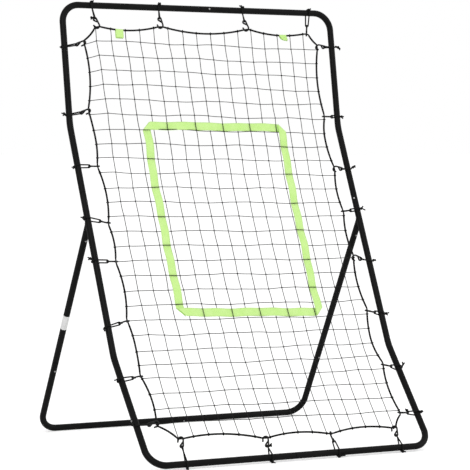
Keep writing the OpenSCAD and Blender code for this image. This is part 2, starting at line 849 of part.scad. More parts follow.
top_tube(-1);  // top_tube_left
top_tube(1);  // top_tube_right
side_tube(-1);  // side_tube_left
side_tube(1);  // side_tube_right
bottom_tube(-1);  // bottom_tube_left
bottom_tube(1);  // bottom_tube_right
stand_leg(-1);  // stand_leg_left
stand_leg(1);  // stand_leg_right
stand_base(-1);  // stand_base_left
stand_base(1);  // stand_base_right
at_top_button() snap_button();  // top_button
at_bottom_button() snap_button();  // bottom_button
at_base_button() snap_button();  // base_button
at_side_button(-1) snap_button();  // side_button_left
at_side_button(1) snap_button();  // side_button_right
at_foot_button(-1) snap_button();  // foot_button_left
at_foot_button(1) snap_button();  // foot_button_right
at_leg_top_button(-1) snap_button();  // leg_top_button_left
at_leg_top_button(1) snap_button();  // leg_top_button_right
at_leg_button(-1) snap_button();  // leg_button_left
at_leg_button(1) snap_button();  // leg_button_right
at_top_button() button_spring();  // top_button_spring
at_bottom_button() button_spring();  // bottom_button_spring
at_base_button() button_spring();  // base_button_spring
at_side_button(-1) button_spring();  // side_button_spring_left
at_side_button(1) button_spring();  // side_button_spring_right
at_foot_button(-1) button_spring();  // foot_button_spring_left
at_foot_button(1) button_spring();  // foot_button_spring_right
at_leg_top_button(-1) button_spring();  // leg_top_button_spring_left
at_leg_top_button(1) button_spring();  // leg_top_button_spring_right
at_leg_button(-1) button_spring();  // leg_button_spring_left
at_leg_button(1) button_spring();  // leg_button_spring_right
net_upper();
net_middle();
net_lower();
edge_rope();
target_ribbon();
tag(tag_places[0]);  // tag_left
tag(tag_places[1]);  // tag_right
hooks(tops, false);  // hooks_top
hooks(rights, true);  // hooks_right
hooks(bottoms, true);  // hooks_bottom
hooks(lefts, false);  // hooks_left
elastic_loops(tops);  // elastic_loops_top
elastic_loops(rights);  // elastic_loops_right
elastic_loops_bottom();
elastic_loops(lefts);  // elastic_loops_left
leg_label();
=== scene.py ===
"""Pitch back rebounder: the looks of its painted tubes, net, rope, hooks, elastic loops and target.

Metres, in the part's own frame: x across, y to the back, z up, with the origin on the ground.
"""
import json
import math
import random

import bpy
from mathutils import Matrix, Vector

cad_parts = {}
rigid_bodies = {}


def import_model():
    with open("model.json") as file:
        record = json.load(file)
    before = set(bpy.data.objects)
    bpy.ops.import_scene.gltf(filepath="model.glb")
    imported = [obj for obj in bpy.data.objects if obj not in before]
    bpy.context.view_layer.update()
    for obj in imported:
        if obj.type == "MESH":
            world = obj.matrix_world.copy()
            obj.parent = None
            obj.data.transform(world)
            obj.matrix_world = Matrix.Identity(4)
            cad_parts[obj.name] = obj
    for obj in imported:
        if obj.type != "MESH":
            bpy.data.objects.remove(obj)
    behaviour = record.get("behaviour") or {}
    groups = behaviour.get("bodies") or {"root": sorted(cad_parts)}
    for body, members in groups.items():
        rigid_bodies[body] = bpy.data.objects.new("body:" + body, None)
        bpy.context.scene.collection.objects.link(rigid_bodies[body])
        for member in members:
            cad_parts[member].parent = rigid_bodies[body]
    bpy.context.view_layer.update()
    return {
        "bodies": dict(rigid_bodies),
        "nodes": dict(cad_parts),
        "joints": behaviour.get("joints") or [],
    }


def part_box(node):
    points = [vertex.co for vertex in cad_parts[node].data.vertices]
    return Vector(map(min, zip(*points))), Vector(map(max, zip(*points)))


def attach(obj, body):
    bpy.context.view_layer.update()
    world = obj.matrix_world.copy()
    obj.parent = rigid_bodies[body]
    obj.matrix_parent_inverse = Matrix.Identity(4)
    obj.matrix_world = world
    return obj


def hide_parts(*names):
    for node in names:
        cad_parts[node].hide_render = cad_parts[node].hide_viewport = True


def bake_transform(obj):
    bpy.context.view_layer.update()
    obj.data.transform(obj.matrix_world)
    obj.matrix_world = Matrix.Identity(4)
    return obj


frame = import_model()
MM = 0.001

# ---- Sizes ----

HALF_WIDTH = 0.600
PANEL_LENGTH = (0.470, 0.940, 0.470)
PANEL_LEAN = tuple(math.radians(a) for a in (41, 26, 11))
PANEL_START = (0.0, 0.470, 1.410)
NET_HEIGHT = 1.880
TUBE_R = 0.0125
BEND_SWELL = 0.00018
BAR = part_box("bottom_tube_left")[0] + Vector((0, TUBE_R + BEND_SWELL, TUBE_R + BEND_SWELL))

CAMERA_TURN = math.radians(-28.93)
CAMERA_RISE = math.radians(3.95)
CAMERA_ROLL = math.radians(0.98)
CAMERA_DISTANCE = 8.023
CAMERA_LENS = 166.14  # in millimetres, as the sensor's width
CAMERA_SENSOR = 36.0
CAMERA_AIM = (-0.2362, 0.8119)  # to the right of and above the middle of the bottom bar

STAND_LEAN = math.radians(27)
STUB_R = 0.0124
WELD_UP = 0.535  # the leg's weld, up the middle panel from its lower bend
WELD_R = 0.0017
WELD_LIFT = 0.0003
WELD_RIPPLES = 17
WELD_RIPPLE = 0.035  # a ripple's height, as a share of the stub's radius

SPRING_LENGTH = 0.026  # from the fold to the button
SPRING_THICK = 0.0006
FLANGE_R = 0.0042  # the spring's arm stays flat under the button's flange
ARM_STEPS = 8
MERGE_GAP = 0.000001

SOFT_GAP = 0.0003  # between the rope or a cord and the steel that it goes round
ROPE_R = 0.003
ROPE_SWELL = 1.25  # the rope is fuller between its hooks
ROPE_REST = 0.009  # how much of the rope lies straight in a hook, to each side
ROPE_DRAW = 0.06  # how deep the rope draws in between two hooks, as a share of their distance

WIRE_R = 0.0025
COAT_R = 0.0033  # a hook's wire with its dipped plastic coat
EYE_R = 0.006
EYE_SWEEP = 220  # how much of the eye is one bend, in degrees, before its straight closing end
CURL_R = 0.0105
CURL_STEP = 0.004  # how far the curl lies to one side of the eye
HOOK_SPAN = 0.026  # from the eye to the curl
TIP_TURN = 215
TIP_LENGTH = 0.006
SEAT_RUN = EYE_R + HOOK_SPAN + CURL_R - WIRE_R - ROPE_R - SOFT_GAP  # along the hook, from its eye to the rope

CORD_R = 0.0025
RING_FULL = 1.1  # how much fuller the braid's cover makes a loop's cord
KNOT_FULL = 1.05  # the same for its knots and ends
KNOT_R = 0.0055
KNOT_SEAT = TUBE_R + 0.0001 + KNOT_R
KNOT_LEAN = {"top": math.radians(50), "right": math.radians(32), "left": math.radians(32)}
KNOT_FLAT = 0.0005  # how deep the ground presses into a knot of the bottom bar
KNOT_SCALE = 0.00135
STEM_FORWARD = 0.15  # how much a knot's stem leans to the player
TAIL_START = 0.005  # how much of a loose end lies inside its knot
TAIL_DROOP = 0.002
GROUND_FILM = 0.0002  # what is pressed flat on the ground lies this far above it

TWINE_R = 0.0015
TWINE_SWAY = 0.0009  # how slack the twine is between two knots, sideways
TWINE_DIP = 0.0006  # and outwards
NET_COLUMNS = 16
COLUMN_FIRST = -0.452
COLUMN_STEP = 0.0638
COLUMN_CLOSING = 0.000173  # each next column lies closer, by twice this
NET_ROWS = 27
ROW_FIRST = 0.077  # a row's place is its distance below the top bar, in the net's middle
# Where rows sag towards a bar: distance below the top bar, how far they sag, over how much.
ROW_SAGS = [(0.150, 0.009, 0.090), (1.700, 0.012, 0.110)]
ROW_TILT = 0.016  # how much lower a row's right end lies, for each metre across
ROW_STEP = 0.06007
ROW_LIFT = 0.2  # how far rows rise where the net stands out, as a share of that
ROW_WAVE = 0.0025
ROW_PHASES = (0.9, 1.7)  # how the wave of the rows moves on from column to column and from row to row
TOP_DRAW = 0.016  # how far the columns are drawn to the left at the top
TOP_DRAW_REACH = 0.12  # and over how much height
SIDE_DRAW = 0.5  # how far the edge columns are drawn in where the net stands out, as a share of that
LEFT_DROP = 0.015  # how far the top rows slope down to the left rope; lower rows less
LEFT_ROWS = 9
KNOT_WANDER = 0.0016  # how far a knot lies off its even place
NET_SEED = 7
# A net knot: the half sizes of its lump, the radius of the turn round it, and its cord's radius.
LUMP_SIZE = (0.0030, 0.0025, 0.0022)
LUMP_TURN_R = 0.0021
LUMP_CORD_R = 0.0013

FOLD_HALF = 0.045  # the taut net rounds off each bend over this far to both sides
BAR_MARGIN = 0.12  # the net comes back to the frame's surface over this far from the top and bottom bars
HELD_FROM = 0.5  # the hooks hold the net in the frame's surface from this far to each side
# The taut net cuts the two hollow bends: up from the bottom bar, how far it stands out, over how much.
CUTS = [(0.480, 0.022, 0.150), (1.400, 0.026, 0.150)]
CUT_ALL = 0.010

RIBBON_WIDTH = 0.0335
# The target's outer corners: x, and the distance below the top bar.
TARGET_CORNERS = {
    "top_left": (-0.308, 0.4525),
    "top_right": (0.330, 0.4595),
    "bottom_right": (0.3255, 1.2785),
    "bottom_left": (-0.3085, 1.2585),
}
RIBBON_THICK = 0.0005
FOLD_LIFT = RIBBON_THICK * 0.7
# The target's sides: their two corners, which twine crosses them, whether the ribbon starts in front of it,
# on which hand the target's middle lies, and how far the folded ends lie in front of the others.
TARGET_SIDES = [
    ("top_left", "top_right", "columns", True, -1, FOLD_LIFT),
    ("bottom_left", "bottom_right", "columns", True, 1, FOLD_LIFT),
    ("top_left", "bottom_left", "rows", False, 1, -FOLD_LIFT),
    ("top_right", "bottom_right", "rows", True, -1, -FOLD_LIFT),
]
RIBBON_WAVE = 0.0029  # how far the ribbon swings to each side of the net
RIBBON_WANDER = 0.0012  # how far the ribbon wanders from its straight line
RIBBON_CUP = 0.0003  # how far its edges curl
RIBBON_STEP = 0.006  # the length of one face
TAG_SIZE = 0.033
TAG_FRONT_SHARE = 0.93  # the tag's end in front is a little shorter
TAG_GAP = 0.0006
PLEAT_DEPTH = 0.005  # of a tag that is gathered all the way
PLEAT_TURN = 16  # the angle that the pleats run through, in radians
GATHER_DRIFT = 0.02  # how far a gathered tag hangs to the right

# Hooks on the bars: place as a share of half the width, lead to the rope, gap to the rope, turn in degrees.
TOP_HOOKS = [(-0.79, 18, 84, -45), (-0.305, 2, 76, -45), (0.32, 13, 76, -45), (0.83, -13, 88, 62)]
BOTTOM_HOOKS = [(-0.755, 9, 107, 45), (-0.17, 4, 84, 45), (0.31, 0, 83, -67), (0.78, 2, 88, 45)]
# Hooks on the sides: panel, place as a share of the panel's height, then the same three.
LEFT_HOOKS = [
    (2, 0.649, 16, 84, -45),
    (2, 0.085, 15, 84, -45),
    (1, 0.818, 0, 84, 68),
    (1, 0.588, -17, 84, 68),
    (1, 0.406, -3, 84, 68),
    (1, 0.129, 19, 84, 68),
    (0, 0.791, 11, 84, 53),
    (0, 0.374, -1, 84, -45),
]
RIGHT_HOOKS = [
    (2, 0.706, -2, 69, 45),
    (2, 0.089, 1, 62, -80),
    (1, 0.802, 0, 63, 45),
    (1, 0.611, -6, 68, -68),
    (1, 0.377, 14, 69, 45),
    (1, 0.136, 15, 63, -68),
    (0, 0.762, 17, 63, -53),
    (0, 0.311, 7, 76, -53),
]

# How each loop is tied, in the hooks' order: how far its two strands slant along the tube, the way and the
# distance from the tube to its knot, the ways and lengths of its two loose ends, and the way and distance
# from the hook's eye to a second knot. Ways are angles in the panel, from the right. Distances are in mm.
TIES = {
    "top": [
        (8, 90, 0, ((40, 2), (150, 2)), (185, 14)),
        (8, 90, 0, ((60, 2), (130, 3)), None),
        (8, 90, 0, ((165, 14), (150, 8)), None),
        (0, 90, 0, ((30, 3), (150, 2)), None),
    ],
    "right": [
        (-4, -20, 11, ((-60, 7), (-20, 6)), None),
        (0, 0, 0, ((10, 6), (-40, 5)), None),
        (-6.5, 25, 8, ((30, 7), (-10, 5)), None),
        (0, 0, 0, ((-25, 12), (40, 6)), None),
        (-6.5, 0, 0, ((20, 6), (-30, 6)), None),
        (0, 0, 1, ((5, 8), (-50, 5)), None),
        (0, 66, 12, ((80, 6), (30, 5)), None),
        (0, 0, 0, ((-10, 3), (30, 2)), (100, 11)),
    ],
    "bottom": [
        (-4, -90, 0, ((-80, 6), (-110, 5)), None),
        (0, -90, 0, ((-60, 7), (-120, 5)), (10, 13)),
        (0, -90, 0, ((0, 17), (-120, 6)), None),
        (-2, -90, 0, ((-90, 5), (-30, 6)), None),
    ],
    "left": [
        (4, 180, 0, ((180, 4), (215, 3)), None),
        (4, 155, 12, ((170, 6), (230, 5)), None),
        (0, 235, 9, ((240, 6), (190, 5)), None),
        (0, 190, 6, ((185, 8), (230, 5)), None),
        (0, 145, 12, ((150, 6), (200, 5)), None),
        (0, 235, 6, ((250, 6), (200, 6)), None),
        (0, 210, 5, ((170, 8), (240, 6)), None),
        (10, 180, 0, ((170, 10), (220, 6)), None),
    ],
}


# ---- Camera ----

def place_camera():
    """A long lens from the left front, a little above, with a slight roll."""
    back = Vector((
        math.sin(CAMERA_TURN) * math.cos(CAMERA_RISE),
        -math.cos(CAMERA_TURN) * math.cos(CAMERA_RISE),
        math.sin(CAMERA_RISE),
    ))
    right = Vector((math.cos(CAMERA_TURN), math.sin(CAMERA_TURN), 0))
    up = back.cross(right)
    aim = Vector((0, BAR.y, BAR.z)) + CAMERA_AIM[0] * right + CAMERA_AIM[1] * up
    rolled_right = math.cos(CAMERA_ROLL) * right + math.sin(CAMERA_ROLL) * up
    rolled_up = -math.sin(CAMERA_ROLL) * right + math.cos(CAMERA_ROLL) * up
    data = bpy.data.cameras.new("camera")
    data.lens = CAMERA_LENS
    data.sensor_width = CAMERA_SENSOR
    camera = bpy.data.objects.new("camera", data)
    turn = Matrix((rolled_right, rolled_up, back)).transposed().to_4x4()
    camera.matrix_world = Matrix.Translation(aim + CAMERA_DISTANCE * back) @ turn
    bpy.context.scene.collection.objects.link(camera)
    bpy.context.scene.camera = camera


place_camera()


# ---- Places on the bent frame ----

def panel_axes(k):
    """The panel's up direction and its direction to the back."""
    lean = PANEL_LEAN[k]
    return Vector((0, math.sin(lean), math.cos(lean))), Vector((0, math.cos(lean), -math.sin(lean)))


def panel_origin(k):
    """The middle of the panel's lower edge."""
    origin = Vector((0, BAR.y, BAR.z))
    for below in range(k):
        origin += panel_axes(below)[0] * PANEL_LENGTH[below]
    return origin


def panel_matrix(k):
    """Takes x across, y back and z up the panel into the part's frame."""
    up, back = panel_axes(k)
    turn = Matrix((Vector((1, 0, 0)), back, up)).transposed().to_4x4()
    return Matrix.Translation(panel_origin(k)) @ turn


PANELS = [panel_matrix(k) for k in range(3)]


def inner_share(x):
    """1 in the net's middle, falling to 0 where the hooks hold it."""
    return max(0.0, 1 - (abs(x) / HELD_FROM) ** 6)


def stand_out(up):
    """How far the net's middle stands out from the frame's surface, towards the player."""
    out = CUT_ALL * max(0.0, math.sin(math.pi * up / NET_HEIGHT))
    return out + sum(height * math.exp(-((up - at) / reach) ** 2) for at, height, reach in CUTS)


def on_frame(x, up, out=0.0):
    """A point of the frame's surface, rounded off at the bends: x across, up from the bottom bar."""
    k = 0 if up < PANEL_START[1] else 1 if up < PANEL_START[2] else 2
    for bend in (1, 2):
        t = up - PANEL_START[bend]
        if abs(t) < FOLD_HALF:
            share = (t + FOLD_HALF) / (2 * FOLD_HALF)
            low, low_back = panel_axes(bend - 1)
            high, high_back = panel_axes(bend)
            point = panel_origin(bend) - low * FOLD_HALF * (1 - share) ** 2 + high * FOLD_HALF * share ** 2
            back = low_back.lerp(high_back, share).normalized()
            return point + Vector((x, 0, 0)) - back * out
    return PANELS[k] @ Vector((x, -out, up - PANEL_START[k]))


def folded(x, up, out=0.0):
    """A point of the net: x across, up from the bottom bar, out towards the player."""
    edge_share = max(0.0, min(1.0, up / BAR_MARGIN, (NET_HEIGHT - up) / BAR_MARGIN))
    return on_frame(x, up, out) - Vector((0, stand_out(up) * inner_share(x) * edge_share, 0))


def hooked(k, tube_point, rope_point, turn):
    """A hook's facts: its panel, the place of its loop on the tube, the rope's seat, and its turn."""
    return {"panel": k, "tube": Vector(tube_point), "rope": Vector(rope_point), "turn": math.radians(turn)}


def bar_hooks(rows, k, up, sign):
    """The hooks of the top or bottom bar."""
    found = []
    for share, lead, gap, turn in rows:
        x = share * HALF_WIDTH
        found.append(hooked(k, (x, up), (x + lead * MM, up + sign * gap * MM), turn))
    return found


def side_hooks(rows, side):
    """The hooks of one side of the frame."""
    found = []
    for k, share, lead, gap, turn in rows:
        z = share * PANEL_LENGTH[k]
        rope_x = side * (HALF_WIDTH - gap * MM)
        found.append(hooked(k, (side * HALF_WIDTH, z), (rope_x, z + lead * MM), turn))
    return found


HOOKS = {
    "top": bar_hooks(TOP_HOOKS, 2, PANEL_LENGTH[2], -1),
    "right": side_hooks(RIGHT_HOOKS, 1),
    "bottom": bar_hooks(BOTTOM_HOOKS, 0, 0.0, 1),
    "left": side_hooks(LEFT_HOOKS, -1),
}


def hook_matrix(hook):
    """Takes x towards the rope, y to the back, from the hook's place on the tube, into the part's frame."""
    pull = hook["rope"] - hook["tube"]
    place = Matrix.Translation(Vector((hook["tube"].x, 0, hook["tube"].y)))
    return PANELS[hook["panel"]] @ place @ Matrix.Rotation(-math.atan2(pull.y, pull.x), 4, "Y")


# ---- Modelling helpers ----

def deselect_all():
    """Clears the selection, so that an operator acts on nothing by chance."""
    bpy.ops.object.select_all(action="DESELECT")


def select_only(*objects):
    """Selects the objects alone, the first one active."""
    deselect_all()
    for o in objects:
        o.select_set(True)
    bpy.context.view_layer.objects.active = objects[0]


def join(name, objects):
    """Joins mesh objects into one piece at the origin."""
    select_only(*objects)
    if len(objects) > 1:
        bpy.ops.object.join()
    joined = bpy.context.view_layer.objects.active
    joined.name = name
    joined.data.name = name
    return joined


def cord_curve(name, lines, radius, closed=False, sides=2, swell=None):
    """Round cord along each line of points, as one mesh with smooth sides and closed ends."""
    data = bpy.data.curves.new(name, "CURVE")
    data.dimensions = "3D"
    data.bevel_depth = radius
    data.bevel_resolution = sides
    data.use_fill_caps = not closed
    for line in lines:
        spline = data.splines.new("POLY")
        spline.points.add(len(line) - 1)
        for i, (point, place) in enumerate(zip(spline.points, line)):
            point.co = (*place, 1)
            point.radius = swell[i] if swell else 1.0
        spline.use_cyclic_u = closed
        spline.use_smooth = True
    curve = bpy.data.objects.new(name, data)
    bpy.context.scene.collection.objects.link(curve)
    select_only(curve)
    bpy.ops.object.convert(target="MESH")
    return bpy.context.view_layer.objects.active


def rounded(points):
    """Cuts the corners of a closed line of points, so that it bends softly."""
    cut = []
    for a, b in zip(points, points[1:] + points[:1]):
        cut += [a.lerp(b, 0.25), a.lerp(b, 0.75)]
    return cut


# ---- The rope round the net ----

def seat(hook):
    """The rope's place in a hook, on the unrolled net."""
    return Vector((hook["rope"].x, PANEL_START[hook["panel"]] + hook["rope"].y))


def rope_ways():
    """The rope's seats in turn, with its direction through each hook: clockwise, seen by the player."""
    order = HOOKS["top"] + HOOKS["right"] + HOOKS["bottom"][::-1] + HOOKS["left"][::-1]
    ways = []
    for hook in order:
        pull = hook["rope"] - hook["tube"]
        ways.append((seat(hook), Vector((-pull.y, pull.x)).normalized()))
    return ways


def rope_run():
    """The rope's line on the unrolled net. Between two hooks it draws inwards."""
    spans = 14
    ways = rope_ways()
    run = []
    for i, (at, way) in enumerate(ways):
        next_at, next_way = ways[(i + 1) % len(ways)]
        p, q = at + way * ROPE_REST, next_at - next_way * ROPE_REST
        d = q - p
        for step in range(spans + 1):
            t = step / spans
            inwards = Vector((d.y, -d.x)) * ROPE_DRAW
            run.append(p + d * t + inwards * 4 * t * (1 - t))
    return run


ROPE_LINE = rope_run()


def rope_crossing(axis, value, side):
    """Where the rope crosses a line of the net: axis 0 for a column, 1 for a row, on one side of it."""
    other = 1 - axis
    middle = NET_HEIGHT / 2 if other == 1 else 0.0
    for a, b in zip(ROPE_LINE, ROPE_LINE[1:] + ROPE_LINE[:1]):
        if (a[axis] - value) * (b[axis] - value) <= 0 and a[axis] != b[axis]:
            t = (value - a[axis]) / (b[axis] - a[axis])
            p = a.lerp(b, t)
            if (p[other] - middle) * side > 0:
                return p, (b - a).normalized()
    raise ValueError("the rope doesn't cross there")


def make_rope():
    """The rope round the net, plain in its hooks and fuller between them."""
    seats = [seat(hook) for side in HOOKS.values() for hook in side]
    run = rounded(ROPE_LINE)
    free = [min(1.0, max(0.0, min((p - s).length for s in seats) / ROPE_REST - 1)) for p in run]
    line = [folded(p.x, p.y) for p in run]
    rope = cord_curve(
        "edge_rope_braid", [line], ROPE_R, closed=True, sides=3,
        swell=[1 + (ROPE_SWELL - 1) * share for share in free],
    )
    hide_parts("edge_rope")
    return rope


# ---- The net ----

wander = random.Random(NET_SEED)


def column_place(k, up):
    """Where a column of the net lies at a height. The edge columns lean after the middle of the net."""
    x = COLUMN_FIRST + COLUMN_STEP * k - COLUMN_CLOSING * k * k
    near_top = math.exp(-((NET_HEIGHT - ROW_FIRST - up) / TOP_DRAW_REACH) ** 2)
    from_right = 1 - (k / (NET_COLUMNS - 1)) ** 2
    return x - TOP_DRAW * near_top * from_right + SIDE_DRAW * stand_out(up) * (1 - inner_share(x))


def row_place(j, x):
    """How high a row of the net lies above the bottom bar, x across."""
    down = ROW_FIRST + ROW_STEP * (j + 1)
    sag = sum(depth * math.exp(-((down - at) / reach) ** 2) for at, depth, reach in ROW_SAGS)
    return NET_HEIGHT - down - sag - ROW_TILT * x + ROW_LIFT * stand_out(NET_HEIGHT - down)


def net_knot_places():
    """Each knot on the unrolled net, as rows of columns, with the small unevenness of a tied net."""
    rows = []
    for j in range(NET_ROWS):
        row = []
        for k in range(NET_COLUMNS):
            x = column_place(k, row_place(j, 0))
            wave = ROW_WAVE * math.sin(k * ROW_PHASES[0] + j * ROW_PHASES[1])
            row.append(Vector((
                x + wander.uniform(-KNOT_WANDER, KNOT_WANDER),
                row_place(j, x) + wave + wander.uniform(-KNOT_WANDER, KNOT_WANDER),
            )))
        rows.append(row)
    return rows


def twine_line(points):
    """The twine through its knots, each stretch a little slack."""
    line = [folded(points[0].x, points[0].y)]
    for a, b in zip(points, points[1:]):
        sway = wander.uniform(-TWINE_SWAY, TWINE_SWAY)
        out = wander.uniform(-TWINE_DIP, TWINE_DIP)
        side = Vector((a.y - b.y, b.x - a.x)).normalized()
        for t in (0.25, 0.5, 0.75):
            p = a.lerp(b, t) + side * sway * math.sin(math.pi * t)
            line.append(folded(p.x, p.y, out * math.sin(math.pi * t)))
        line.append(folded(b.x, b.y))
    return line


def knot_mesh():
    """One knot of the net: a lump with a turn of twine round it."""
    deselect_all()
    bpy.ops.mesh.primitive_ico_sphere_add(subdivisions=1, radius=1.0)
    lump = bpy.context.object
    bpy.ops.object.mode_set(mode="EDIT")
    bpy.ops.transform.resize(value=LUMP_SIZE)
    bpy.ops.object.mode_set(mode="OBJECT")
    deselect_all()
    bpy.ops.mesh.primitive_torus_add(
        major_segments=8, minor_segments=5, major_radius=LUMP_TURN_R, minor_radius=LUMP_CORD_R,
        rotation=(math.radians(58), 0, math.radians(40)),
    )
    turn = bpy.context.object
    bpy.ops.object.transform_apply(location=False, rotation=True, scale=False)
    return join("net_knot", [lump, turn])


def hitch_mesh():
    """The turn of twine that holds the net to its rope: its axis is x."""
    deselect_all()
    bpy.ops.mesh.primitive_torus_add(
        major_segments=10, minor_segments=5,
        major_radius=ROPE_R * ROPE_SWELL + TWINE_R * 0.5, minor_radius=TWINE_R * 1.2,
        rotation=(0, math.pi / 2, 0),
    )
    bpy.ops.object.transform_apply(location=False, rotation=True, scale=False)
    return bpy.context.object


def copies(pattern, places, name):
    """A copy of the pattern, with its own mesh, at each matrix, joined."""
    made = []
    for place in places:
        piece = pattern.copy()
        piece.data = pattern.data.copy()
        piece.data.transform(place)
        bpy.context.scene.collection.objects.link(piece)
        made.append(piece)
    bpy.data.objects.remove(pattern)
    return join(name, made)


def surface_matrix(p, way):
    """A frame on the net's surface at p: x along way, z towards the back."""
    at = folded(p.x, p.y)
    along = (folded(p.x + way.x * MM, p.y + way.y * MM) - at).normalized()
    back = (folded(p.x, p.y, -MM) - at).normalized()
    across = back.cross(along)
    return Matrix.Translation(at) @ Matrix((along, across, back)).transposed().to_4x4()


def make_net():
    """The knotted net: its columns and rows of twine, its knots, and the turns that tie it to the rope."""
    knots = net_knot_places()
    ties = []
    lines = []
    for k in range(NET_COLUMNS):
        ends = [rope_crossing(0, knots[0][k].x, 1), rope_crossing(0, knots[-1][k].x, -1)]
        ties += ends
        lines.append(twine_line([ends[0][0]] + [row[k] for row in knots] + [ends[1][0]]))
    for j, row in enumerate(knots):
        drop = LEFT_DROP * max(0.2, 1 - j / LEFT_ROWS)
        ends = [rope_crossing(1, row[0].y - drop, -1), rope_crossing(1, row[-1].y, 1)]
        ties += ends
        lines.append(twine_line([ends[0][0]] + row + [ends[1][0]]))
    twine = cord_curve("twine", lines, TWINE_R, sides=1)
    places = []
    for row in knots:
        for p in row:
            spin = Matrix.Rotation(wander.uniform(0, math.pi), 4, "Z")
            places.append(surface_matrix(p, Vector((1, 0))) @ spin)
    tied = copies(knot_mesh(), places, "knots")
    hitches = copies(hitch_mesh(), [surface_matrix(p, way) for p, way in ties], "hitches")
    net = join("net", [twine, tied, hitches])
    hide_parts("net_upper", "net_middle", "net_lower")
    return net


# ---- The ribbon target and the tags ----

def ribbon_grid(name, rows):
    """A sheet through rows of points."""
    n = len(rows[0])
    points = [p for row in rows for p in row]
    faces = [
        (i * n + j, (i + 1) * n + j, (i + 1) * n + j + 1, i * n + j + 1)
        for i in range(len(rows) - 1) for j in range(n - 1)
    ]
    mesh = bpy.data.meshes.new(name)
    mesh.from_pydata(points, [], faces)
    piece = bpy.data.objects.new(name, mesh)
    bpy.context.scene.collection.objects.link(piece)
    select_only(piece)
    bpy.ops.object.mode_set(mode="EDIT")
    bpy.ops.mesh.select_all(action="SELECT")
    bpy.ops.mesh.normals_make_consistent(inside=False)
    bpy.ops.object.mode_set(mode="OBJECT")
    return piece


def thicken(piece, thickness):
    """Gives a sheet its thickness and smooth faces."""
    select_only(piece)
    solid = piece.modifiers.new("thickness", "SOLIDIFY")
    solid.thickness = thickness
    solid.offset = 0
    bpy.ops.object.modifier_apply(modifier=solid.name)
    bpy.ops.object.shade_smooth()


def ribbon_side(name, start, end, inward, crossings, first_front, layer):
    """One side of the target from corner to corner, woven over and under the twine that crosses it.

    start and end are the outer corners on the unrolled net, inward points to the target's middle,
    crossings are the distances along the side at which twine crosses, and layer lifts the folded ends.
    """
    way = (end - start).normalized()
    length = (end - start).length
    across_steps = 6
    along_steps = int(length / RIBBON_STEP)
    rows = []
    for i in range(along_steps + 1):
        row = []
        for j in range(across_steps + 1):
            v = j / across_steps
            cut = RIBBON_WIDTH * (1 - v)
            t = cut + (length - 2 * cut) * i / along_steps
            out = weave(t, crossings, first_front) + layer * fold_share(t, length)
            p = start + way * t + inward * RIBBON_WIDTH * v
            p = p + inward * RIBBON_WANDER * math.sin(t * 21 + layer * 900)
            row.append(folded(p.x, p.y, out + RIBBON_CUP * math.sin(v * 9 + t * 35)))
        rows.append(row)
    return ribbon_grid(name, rows)


def weave(t, crossings, first_front):
    """How far the ribbon stands in front of the net at the distance t along it."""
    sign = 1 if first_front else -1
    before = [c for c in crossings if c <= t]
    after = [c for c in crossings if c > t]
    if not before:
        return sign * RIBBON_WAVE
    if not after:
        return sign * RIBBON_WAVE * (-1) ** (len(crossings) - 1)
    share = (t - before[-1]) / (after[0] - before[-1])
    return sign * RIBBON_WAVE * (-1) ** (len(before) - 1) * math.cos(math.pi * share)


def fold_share(t, length):
    """1 in a folded corner, easing to 0 beyond it."""
    near = min(t, length - t)
    return max(0.0, min(1.0, 2 - near / RIBBON_WIDTH))


def make_target():
    """The square to aim at: four sides of one ribbon, folded at its corners."""
    corner = {name: Vector((x, NET_HEIGHT - down)) for name, (x, down) in TARGET_CORNERS.items()}
    columns = [column_place(k, NET_HEIGHT / 2) for k in range(NET_COLUMNS)]
    sides = []
    for start, end, crossed_by, first_front, hand, layer in TARGET_SIDES:
        a, b = corner[start], corner[end]
        if crossed_by == "columns":
            crossings = [x - a.x for x in columns if a.x < x < b.x]
        else:
            rows = [row_place(j, a.x) for j in range(NET_ROWS)]
            crossings = [a.y - y for y in rows if b.y < y < a.y]
        way = (b - a).normalized()
        inward = hand * Vector((-way.y, way.x))
        sides.append(ribbon_side(f"{start}_to_{end}", a, b, inward, crossings, first_front, layer))
    target = join("target_webbing", sides)
    thicken(target, RIBBON_THICK)
    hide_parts("target_ribbon")
    return target


def tag_profile():
    """A tag from its end at the back, over the rope, to its end in front: how far out, and how high."""
    steps = 8
    over = [math.radians(degrees) for degrees in (150, 120, 90, 60, 30)]
    back = [(-1, -TAG_SIZE + i * TAG_SIZE / steps) for i in range(steps + 1)]
    front = [(1, -i * TAG_SIZE * TAG_FRONT_SHARE / steps) for i in range(steps + 1)]
    return back + [(math.cos(a), (ROPE_R + TAG_GAP) * math.sin(a)) for a in over] + front


def make_tag(side, x, crumple, gather):
    """A short ribbon folded over the top rope, with its two ends hanging, gathered in pleats and askew."""
    half_turn = ROPE_R + TAG_GAP
    steps = 8
    rows = []
    for out_share, drop in tag_profile():
        hang = max(0.0, -drop) / TAG_SIZE
        apart = half_turn * out_share * (1.0 if drop > -0.004 else 0.75 + 0.1 * hang)
        squeeze = 3 * crumple / TAG_SIZE * hang * hang
        row = []
        for j in range(steps + 1):
            v = j / steps - 0.5
            p, _ = rope_crossing(0, x + v * TAG_SIZE, 1)
            ripple = crumple * hang * math.sin(v * 7 + hang * 5 + out_share)
            pleat = gather * PLEAT_DEPTH * math.sin(hang * PLEAT_TURN + v * 2) * min(1, 3 * hang)
            sideways = gather * GATHER_DRIFT * hang - v * TAG_SIZE * squeeze
            rise = gather * TAG_SIZE * hang * (1 - 0.6 * v) + crumple * hang * math.sin(v * 5)
            row.append(folded(p.x + sideways, p.y + drop + rise, apart + ripple + pleat))
        rows.append(row)
    tag = ribbon_grid(f"tag_{side}_ribbon", rows)
    thicken(tag, RIBBON_THICK)
    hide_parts(f"tag_{side}")
    return tag


# ---- Hooks ----

def way_at(degrees):
    """A direction in the hook's flat."""
    a = math.radians(degrees)
    return Vector((math.cos(a), math.sin(a), 0))


